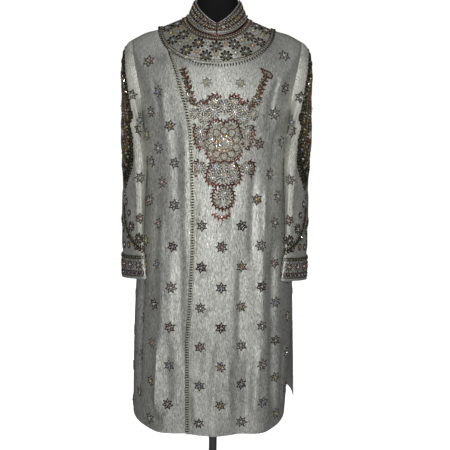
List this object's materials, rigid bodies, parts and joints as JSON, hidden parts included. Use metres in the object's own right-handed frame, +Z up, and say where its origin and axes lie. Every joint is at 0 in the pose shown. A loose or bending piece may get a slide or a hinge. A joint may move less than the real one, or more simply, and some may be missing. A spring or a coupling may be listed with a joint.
{
  "type": "sherwani coat on dress form",
  "caption": "Ivory silk side-closing sherwani coat with stand collar, jewelled yoke and chest, long sleeves and side slits, on a limbless black dress form and stand.",
  "frame": {"origin": "centre of the stand's underside, on the floor", "axes": "+Z up, -Y the coat's front, +X the wearer's left"},
  "size_m": [0.5434, 0.376, 1.572],
  "materials": {
    "ivory_silk": "crinkled ivory silk with a soft silver sheen, star-flower butis embroidered all over",
    "beaded_braid": "antique gold cord and dark bugle beads",
    "embroidered_band": "maroon thread, gold cord and cut stones on silk",
    "black_jersey": "matt black jersey cover",
    "polished_steel": "polished steel"
  },
  "bodies": {
    "root": {"front_left": "ivory_silk", "front_right": "ivory_silk", "back": "ivory_silk", "sleeve_left_top": "ivory_silk", "sleeve_left_under": "ivory_silk", "sleeve_right_top": "ivory_silk", "sleeve_right_under": "ivory_silk", "collar": "ivory_silk", "collar_piping": "ivory_silk", "neck_piping": "ivory_silk", "yoke_braid": "beaded_braid", "closing_braid": "beaded_braid", "cuff_left": "embroidered_band", "cuff_right": "embroidered_band", "form_torso": "black_jersey", "stand_base": "polished_steel", "stand_pole": "polished_steel", "stand_fitting": "polished_steel", "stand_flange": "polished_steel"}
  },
  "joints": []
}
